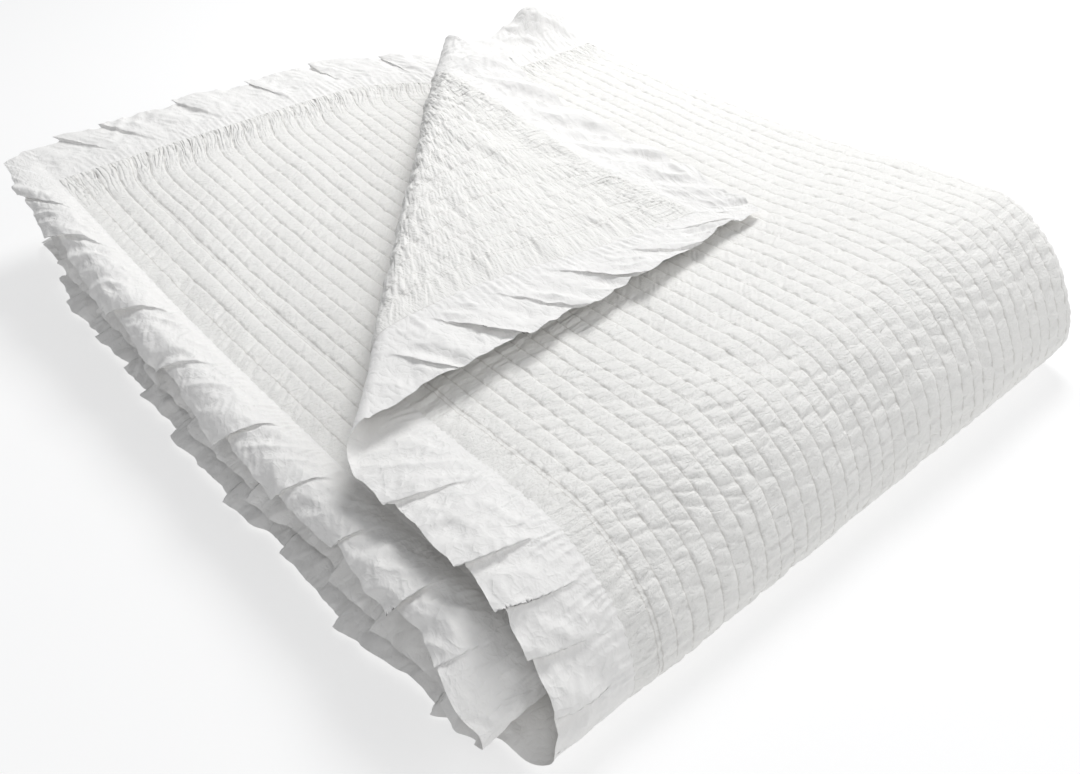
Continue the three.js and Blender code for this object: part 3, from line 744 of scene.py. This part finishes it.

# %% Cottons
# The second colour is painted shade: a grey line along each stitched line, where its groove is
# shaded.
PERCALE_WHITE, STITCH_GROOVE_PAINTED_SHADE, VOILE_WHITE = "#F0EFEC", "#DFDDD9", "#F1F0EE"
PAINTED_SHADE_FULL_AT, PAINTED_SHADE_GONE_AT = 0.3, 1.5  # mm from a stitched line that the painted groove shade is full, and gone


def cotton(name, colour, roughness, layers):
    """A matt cotton over the given bumps, a function of the material and its flat coordinates."""
    material, surface = new_material(name)
    flat = add_node(material, "ShaderNodeUVMap", {"uv_map": "flat_cloth"}).outputs["UV"]
    shader = add_node(material, "ShaderNodeBsdfPrincipled", None,
                      {"Base Color": linear(colour), "Roughness": roughness,
                       "Specular IOR Level": 0.2, "Sheen Weight": 0.15, "Sheen Roughness": 0.5},
                      {"Normal": bumps(material, layers(material, flat))})
    material.node_tree.links.new(shader.outputs["BSDF"], surface.inputs["Surface"])
    return material, shader


def washed_quilting(material, flat):
    """Valleys across the strips, some 6 mm apart, a finer set that slants the other way, a slub
    of 3 mm, and long puckers 7 mm apart that run square to the end seams and die out 120 mm
    from them."""
    puckered = add_node(material, "ShaderNodeAttribute", {"attribute_name": "puckered"})
    long_puckers = crumpled(material, flat, 7, 48, "RIDGED_MULTIFRACTAL", 1.5, 4)
    gathered_ends = add_node(material, "ShaderNodeMath", {"operation": "MULTIPLY"}, None,
                             {0: long_puckers, 1: puckered.outputs["Fac"]})
    return [(crumpled(material, flat, 15, 6.5, "RIDGED_MULTIFRACTAL", 1.5, 8), -0.38),
            (crumpled(material, flat, 9, 5, "RIDGED_MULTIFRACTAL", 1.5, -25), -0.2),
            (crumpled(material, flat, PERCALE_SLUB, PERCALE_SLUB, "FBM"), 0.5),
            (gathered_ends.outputs["Value"], -1.5)]


def thin_voile(material, flat):
    """Crests as in creased tissue paper, some 15 to 24 mm long, a smaller set that slants the
    other way, and a faint slub."""
    return [(crumpled(material, flat, 24, 15, "RIDGED_MULTIFRACTAL", 2.5, 35), 0.42),
            (crumpled(material, flat, 9, 12, "RIDGED_MULTIFRACTAL", 1.5, -20), 0.2),
            (crumpled(material, flat, VOILE_SLUB, VOILE_SLUB, "FBM"), 0.25)]


percale, percale_shader = cotton("cotton_percale_quilted_and_washed", PERCALE_WHITE, 0.92,
                                 washed_quilting)
off_line = add_node(percale, "ShaderNodeAttribute", {"attribute_name": "off_line"})
# Painted shade: the percale darkens towards each stitched line, as the shade in its groove.
painted_groove_shade = add_node(percale, "ShaderNodeMapRange", {"interpolation_type": "SMOOTHSTEP"},
                  {"From Min": PAINTED_SHADE_FULL_AT, "From Max": PAINTED_SHADE_GONE_AT, "To Min": 1.0, "To Max": 0.0},
                  {"Value": off_line.outputs["Fac"]})
groove_shaded_colour = add_node(percale, "ShaderNodeMix", {"data_type": "RGBA"}, None,
                {"Factor": painted_groove_shade.outputs["Result"]})
groove_shaded_colour.inputs["A"].default_value = linear(PERCALE_WHITE)
groove_shaded_colour.inputs["B"].default_value = linear(STITCH_GROOVE_PAINTED_SHADE)
percale.node_tree.links.new(groove_shaded_colour.outputs["Result"], percale_shader.inputs["Base Color"])
voile, _ = cotton("cotton_voile_gathered", VOILE_WHITE, 0.88, thin_voile)
print("cloths:", percale.name, "and", voile.name)

# %% [markdown]
# ## The face cloth of the quilting
#
# On the real coverlet the quilting is two cloths with thin wadding between, stitched through.
# This piece is the cloth on the face: we see it on the top layer and round the front fold. An
# evenly divided grid would spend most of its faces under the stack, so the rows of this one
# gather where the cloth shows.

# %% Where the face cloth shows
END_ROOM = 30  # the fine rows stop this short of the end seam
FACE_ROWS = (24, 296, 14)  # before the cloth shows, where it shows, and after


def upper_x(q):
    """x of the upper two layers' lines: straight in from the side fold."""
    flat = np.maximum(abs(q - UPPER_PAIR_SLIP) - SIDE_FOLD_CLOTH, 0)
    return SIDE_FOLD_UPPER - SIDE_FOLD_DEPTH - flat


def end_seams(q):
    """p of the two end seams, for each column."""
    return np.full_like(q, -HALF_LENGTH), np.full_like(q, HALF_LENGTH)


face_q = columns_at(-HALF_WIDTH, -20)
face_x = upper_x(face_q)
face_fold = front_fold(face_x, 0)
shown_to_y = mix(470, 1080, smooth(face_x, 450, 950))  # behind it lies the turned corner
shown_from = OUTER_SLIP + face_fold["upper_reach"] - shown_to_y
shown_from = np.maximum(shown_from, -HALF_LENGTH + END_ROOM)
inner = smooth(face_q, 0, 450)  # the face of the inner layers is out of sight
shown_from = mix(shown_from, -600, inner)
shown_to = mix(OUTER_SLIP + face_fold["fall_cloth"] + 12, 400, inner)
start, stop = end_seams(face_q)
face_p = between([start, shown_from, shown_to, stop], FACE_ROWS)
print("face cloth, p shown at its side seam:", shown_from[0].round(), "to", shown_to[0].round())

# %% Face cloth
FACE_PUFF, FACE_RIPPLE, FACE_PILLOW, FACE_CRINKLE = 0.46, 1.4, 2.4, 0.65
MORE_RIPPLE, MORE_PILLOW = 0.4, 0.9  # near the front fold
near_front = smooth(face_p, -520, -230)
face_high = relief(face_p, face_q, FACE_PUFF, FACE_RIPPLE + MORE_RIPPLE * near_front,
                   FACE_PILLOW + MORE_PILLOW * near_front, FACE_CRINKLE)


def past_nose(p):
    """0 on the upper layers and 1 on the lower ones, eased round the front fold's nose."""
    return smooth(p, OUTER_SLIP - 40, OUTER_SLIP + 40)


face_high = face_high + (1 - past_nose(face_p)) * sway(face_p, face_q)
resting = np.where(face_q > UPPER_PAIR_SLIP, 0, smooth(face_p, OUTER_SLIP, 0))
face_high = mix(face_high, CREST_HALF, resting)  # the underside lies flat on the floor
face_wandered = wandered(face_p, face_q)
face_points = folded(face_p, face_wandered)
face_points = face_points + normals(face_p, face_wandered) * face_high[..., None]
face_cloth = cloth_piece("quilt_face_cloth", face_points, face_p, face_q, percale)

# %% [markdown]
# ## The reverse cloth of the quilting
#
# The reverse shows on the second layer and on the turned corner, where handling has creased it
# more. A Solidify modifier could make it from the face cloth, but its fine rows are needed
# elsewhere. So it is a cloth of its own in two widths, which meet on a stitched line inside the
# side fold, and each has its fine rows where it shows.

# %% Creases of the turned corner
LONG_EVERY, LONG_DEPTH, LONG_WIDTH = 34, 2.8, 5.5
ROLL_DEPTH, ROLL_FROM, ROLL_TO = 2.0, 50, 190


def long_creases(p, q):
    """The turned corner is creased across its channels: wavy troughs some 34 mm apart and up
    to 2.8 mm deep, which come and go."""
    mark = (p + 18 * noise(p / 80, q / 55) + 5 * noise(p / 30, q / 21)) / LONG_EVERY
    whole = np.round(mark)
    there = smooth(noise(p / 75 + 4, q / 48), -0.5, 0.3)
    trough = np.exp(-(((mark - whole) * LONG_EVERY / LONG_WIDTH) ** 2))
    return LONG_DEPTH * there * (0.7 + 0.3 * chance(whole, 9)) * trough


def roll_puckers(p, q):
    """Puckers square to the diagonal fold, 2 mm deep, that die out 190 mm beyond it."""
    past, along = past_turn(p, q), (q - p) / ROOT2
    there = smooth(past, -30, 20) * (1 - smooth(past, ROLL_FROM, ROLL_TO))
    there = there * (q < UPPER_PAIR_SLIP)
    return ROLL_DEPTH * there * (valleys(along / 8.5, past / 48) - 0.2)


print("long creases every", LONG_EVERY, "mm, up to", LONG_DEPTH, "mm deep")

# %% One width of the reverse cloth
# puff, ripple, pillow and crinkle where the cloth lies flat, and what the turned corner adds
REVERSE, TURNED_ADDS = (0.55, 1.2, 1.9, 0.7), (-0.25, 0.3, 0.2, 1.2)
FAINTER = 0.55  # added to off_line, so that the painted groove shade shows less on the turned corner
REVERSE_END_ROOM = 60  # the fine rows start at the end seam and take up at least this


def turn_line(q, depth, slip):
    """p where an upper layer's lines cross the diagonal fold line, for each column."""
    x = upper_x(q)
    return slip + front_fold(x, depth)["upper_reach"] - (x + TURN_OFFSET)


def reverse_cloth(name, q, fine_to, sparse_from, counts):
    """One width of the reverse cloth, the same relief on the other side of the middle. Its rows
    are fine up to fine_to and sparse from sparse_from on."""
    start, stop = end_seams(q)
    fine_to = np.clip(fine_to, -HALF_LENGTH + REVERSE_END_ROOM, None)
    p = between([start, fine_to, 0 * start + sparse_from, stop], counts)
    turned = smooth(past_turn(p, q), -30, 60) * (q < UPPER_PAIR_SLIP)
    high = relief(p, q, *[flat + more * turned for flat, more in zip(REVERSE, TURNED_ADDS)])
    inside = smooth(np.minimum(HALF_WIDTH + q, HALF_LENGTH + p), 20, 70)
    high = high - inside * (turned * long_creases(p, q) + roll_puckers(p, q))
    high = high - (1 - past_nose(p)) * sway(p, q)
    moved = wandered(p, q)
    moved = moved + turned * 3.5 * noise(p / 38, q / 44) * smooth(HALF_WIDTH + q, 5, 60)
    points = folded(p, moved) - normals(p, moved) * high[..., None]
    return cloth_piece(name, points, p, q, percale, flipped=True, faint=FAINTER * turned)


split_q = LINES[np.searchsorted(LINES, UPPER_PAIR_SLIP) - 1]
print("the two widths meet at q =", split_q.round(1), "mm")

# %% The two widths
# The inner width is the second and third layers, and the outer one has the turned corner
inner_q = columns_at(60, HALF_WIDTH)
inner_q = inner_q[inner_q >= split_q]
inner_cloth = reverse_cloth("quilt_reverse_cloth_inner", inner_q,
                            turn_line(inner_q, 1, INNER_SLIP), 120, [320, 30, 12])
outer_q = columns_at(-HALF_WIDTH, -330)
outer_q = outer_q[outer_q <= split_q]
outer_cloth = reverse_cloth("quilt_reverse_cloth_outer", outer_q,
                            turn_line(outer_q, 0, OUTER_SLIP) + 20, 60, [400, 28, 12])

# %% [markdown]
# ## The ruffles
#
# Each ruffle is one long strip of voile, gathered to its seam, with a narrow hem. Folding has
# pressed it into flat, uneven pleats that lie over each other, in place of the CAD solid's even
# waves. Cloth simulation would put the pleats elsewhere, so each one is a row in a table, and
# the rows of the edges in front follow the notches that show in the hem.

# %% How free a ruffle is
MITRE_GAP, MITRE_FADE = 1.0, 90.0  # between two ruffles at a corner
ROLL_HALF_TURN = np.pi * TURN_NEAR


def looseness(p, q, from_mitre):
    """How free a ruffle is, 0 to 1: not at all at the mitres, round the side folds and over
    the roll."""
    at_mitre = smooth(from_mitre, 0, MITRE_FADE)
    at_fold = smooth(abs(q), SIDE_FOLD_CLOTH / 2, 2 * SIDE_FOLD_CLOTH)
    off_roll = abs(past_turn(p, q) - ROLL_HALF_TURN / 2)
    at_roll = smooth(off_roll, ROLL_HALF_TURN / 4, 1.5 * ROLL_HALF_TURN)
    return at_mitre * at_fold * np.where((p < 0) & (q < 0), at_roll, 1)


def upward(p, q):
    """+1 where the outer face looks up, -1 where it looks down, eased round the folds."""
    facing = (1 - 2 * smooth(q, -30, 30)) * (1 - 2 * smooth(p, OUTER_SLIP - 30, OUTER_SLIP + 90))
    return np.where((p < 0) & (q < 0) & (past_turn(p, q) > ROLL_HALF_TURN / 2), -1.0, facing)


print("round the roll a ruffle takes", round(ROLL_HALF_TURN, 1), "mm of cloth at its tight end")

# %% Pleats
DROP = 5  # a pleat falls back within this before the next one starts
OPEN_FROM, OPEN_TO = 5, 95  # and it opens between these distances from the seam
MID_CLIMB = 0.45  # below it the tooth shortens the strip, and above it lengthens it
DRAWN_PLEATS = {"width": (60, 180), "rise": (2, 6), "tooth": (0.04, 0.13), "overlap": (1, 5)}


def pleats(along, e, table):
    """Pleats pressed over, as (start, rise, tooth, overlap) along the seam. From each start the
    strip climbs evenly, and just before the next start it drops. Returns the slide along the
    seam, which lays the climbed end over the next pleat, the lift, and the reach, which grows
    with the climb and so gives the hem its teeth."""
    start, rise, tooth, overlap = np.array(table, float).T
    s = along + 0.12 * e + 4 * noise(e / 45, along / 200)
    i = np.clip(np.searchsorted(start, s, side="right") - 1, 0, len(start) - 2)
    climb = np.clip((s - start[i]) / (start[i + 1] - start[i]), 0, 1)
    climb = climb * (1 - smooth(s, start[i + 1] - DROP, start[i + 1]))
    opened = smooth(e, OPEN_FROM, OPEN_TO)
    return (overlap[i] * smooth(climb, 0.5, 1) * opened, rise[i] * climb * opened,
            1 + tooth[i] * (climb - MID_CLIMB))


def pleat_table(seed, half_seam, placed):
    """Uneven pleats 60 to 180 mm wide along a seam, round those listed."""
    draw = np.random.default_rng(seed)
    table, at = list(placed), -half_seam
    while at < half_seam:
        if not placed or at < placed[0][0] - 40 or at > placed[-1][0] + 40:
            shape = [draw.uniform(*DRAWN_PLEATS[k]) for k in ("rise", "tooth", "overlap")]
            table.append((at, *shape))
        at += draw.uniform(*DRAWN_PLEATS["width"])
    return sorted(table)


print("a drawn seam has", len(pleat_table(14, HALF_WIDTH, [])), "pleats")

# %% Creases of the voile
CRUMPLE_BROAD, CRUMPLE_SMALL = 4.2, 2.0
FOLDS_BROAD, FOLDS_SMALL = 4.8, 2.8


def crumple(t, e):
    """Creased like paper: sharp ridges where two slanting noises cross zero."""
    broad = 0.5 - abs(noise((t + 0.8 * e) / 31, (e - 0.35 * t) / 44))
    small = 0.5 - abs(noise((t - 0.6 * e) / 13 + 40, (e + 0.2 * t) / 19))
    return CRUMPLE_BROAD * broad + CRUMPLE_SMALL * small


def soft_folds(t, e, key):
    """Folds that start at the seam and open towards the hem, unevenly 45 to 90 mm apart."""
    spread = t * (1 - 0.0006 * e) + 9 * noise(t / 70, e / 60 + key)
    return (FOLDS_BROAD * noise(spread / 34, key + e / 400)
            + FOLDS_SMALL * noise(spread / 17, key + 7 + e / 200))


print("crumple, from crest to valley, up to", CRUMPLE_BROAD + CRUMPLE_SMALL, "mm")

# %% One ruffle
GATHER_EVERY, GATHER_WIDTH, GATHER_DEPTH, GATHER_FADE = 10.5, 2.8, 4.0, 32
INNER_CUT, INNER_REACH = 0.25, 140  # an inner corner is rounded by this share over this length
HEM_FROM, HEM_TO, HEM_STEP = 111.5, 113, 0.5  # the turned up hem is a thickness higher
SEWN_IN = 4  # a ruffle starts this far inside the panel


def ruffle(name, half_seam, to_flat, columns, rows, table, raised=(0, 1, 0)):
    """A gathered strip: the fold map beyond the seam, soft folds, flat pleats, gathers that
    are tight at the seam and die out towards the hem, a crumple, and one raised place (where
    along the seam, half its width, its height). It starts 4 mm inside the panel, between its
    two cloths, as it is sewn."""
    along = np.linspace(-half_seam, half_seam, columns)[None, :]
    share = np.linspace(0, 1, rows)[:, None]
    slide, lift, tooth = pleats(along, RUFFLE_WIDTH * share, table)
    reach = 1 + (0.04 * noise(along / 62, 0 * along + half_seam)
                 + 0.02 * noise(along / 17, 0 * along + 5)) * share
    seam_p, seam_q = to_flat(along, 0 * share)
    from_end = half_seam - abs(along)
    loose = looseness(seam_p, seam_q, from_end)
    inner_corner = (seam_q > 0) * (1 - smooth(from_end, 0, INNER_REACH))
    e = RUFFLE_WIDTH * share * reach * mix(1, tooth, loose * share)
    e = e * (1 - INNER_CUT * inner_corner)
    t = along * (1 + np.maximum(e - MITRE_GAP, 0) / half_seam)
    p, q = to_flat(t, e)
    loose = looseness(p, q, half_seam - abs(along))
    tight = np.exp(-e / GATHER_FADE) * (1 - np.exp(-((e / 5) ** 2)))
    gathered = creases(t + 6 * noise(t / 30, e / 40), 7.0, GATHER_EVERY, GATHER_WIDTH)
    high = lift + smooth(share, 0, 0.8) * soft_folds(t, e, half_seam / 100)
    high = high + GATHER_DEPTH * tight * gathered
    where, half_width, height = raised
    high = high + height * np.exp(-(((along - where) / half_width) ** 2)) * smooth(e, 0, 115)
    high = loose * high + (0.25 + 0.75 * loose) * smooth(e, 0, 40) * crumple(t, e)
    high = high + HEM_STEP * smooth(e, HEM_FROM, HEM_TO)
    e = e - SEWN_IN * (1 - smooth(share, 0, 0.04))
    p, q = to_flat(t + slide * loose, e)
    points = folded(p, q) + normals(p, q) * (upward(p, q) * high)[..., None]
    return cloth_piece(name, points, p, q, voile)


def side(sign):
    """Flat places beyond a long edge, from the way along it and out from it."""
    return lambda t, e: (t, sign * (HALF_WIDTH + e) + 0 * t)


def end(sign):
    """Flat places beyond a short edge."""
    return lambda t, e: (sign * (HALF_LENGTH + e) + 0 * t, t)


print("gathers every", GATHER_EVERY, "mm, hem", round(RUFFLE_WIDTH - HEM_FROM, 1), "mm")

# %% Listed pleats
# Where the photograph shows a notch in the hem a pleat starts. Each row has its start along the
# seam, its rise, the share that its tooth adds to the hem, and its overlap.
INNER_PLEATS = [(-1230, 6, 0.1, 6), (-1100, 9, 0.16, 8), (-985, 10, 0.16, 10), (-790, 6, 0.1, 6),
                (-640, 10, 0.22, 12), (-480, 6, 0.12, 6), (-355, 6, 0.08, 6), (-250, 10, 0.2, 12),
                (-140, 5, 0.06, 4), (-60, 0, 0, 0), (60, 5, 0.08, 4)]
OUTER_PLEATS = [(-1230, 4, 0.08, 4), (-1130, 5, 0.1, 5), (-1040, 9, 0.16, 10), (-935, 5, 0.1, 5),
                (-830, 9, 0.17, 12), (-740, 5, 0.1, 6), (-640, 0, 0, 0), (-520, 5, 0.08, 6),
                (-385, 8, 0.13, 9), (-275, 9, 0.1, 12), (-215, 6, 0.08, 8), (-160, 7, 0.08, 9),
                (-105, 3, 0.04, 4), (-60, 0, 0, 0), (30, 5, 0.08, 4)]
END_PLEATS = [(-985, 4, 0.06, 4), (-880, 8, 0.12, 10), (-800, 4, 0.06, 4), (-700, 10, 0.14, 12),
              (-630, 4, 0.06, 4), (-560, 10, 0.12, 12), (-500, 0, 0, 0), (-330, 3, 0.05, 3),
              (-210, 4, 0.08, 4), (-60, 0, 0, 0)]
print("pleats by hand:", len(INNER_PLEATS), len(OUTER_PLEATS), len(END_PLEATS))

# %% The four ruffles
SIDE_GRID, END_GRID = (1380, 35), (1200, 38)  # columns along the seam, rows out from it
side_outer = ruffle("ruffle_side_outer_voile", HALF_LENGTH, side(-1), *SIDE_GRID,
                    pleat_table(11, HALF_LENGTH, OUTER_PLEATS))
side_inner = ruffle("ruffle_side_inner_voile", HALF_LENGTH, side(1), *SIDE_GRID,
                    pleat_table(12, HALF_LENGTH, INNER_PLEATS))
end_upper = ruffle("ruffle_end_upper_voile", HALF_WIDTH, end(-1), *END_GRID,
                   pleat_table(13, HALF_WIDTH, END_PLEATS), raised=(-115, 62, 40))
end_lower = ruffle("ruffle_end_lower_voile", HALF_WIDTH, end(1), *END_GRID,
                   pleat_table(14, HALF_WIDTH, []))

# %% [markdown]
# ## The pieces on the model's body
#
# Every piece rides on the model's one body and stands for its CAD solid.

# %% Ride and replace
quilt = [face_cloth, inner_cloth, outer_cloth]
ruffles = {"ruffle_side_outer": side_outer, "ruffle_side_inner": side_inner,
           "ruffle_end_upper": end_upper, "ruffle_end_lower": end_lower}
for piece in quilt:
    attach(piece, "root")
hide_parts("quilted_panel")
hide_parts("quilted_panel")
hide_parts("quilted_panel")
for node, piece in ruffles.items():
    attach(piece, "root")
    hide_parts(node)
print("declared", len(quilt) + len(ruffles), "sheets")
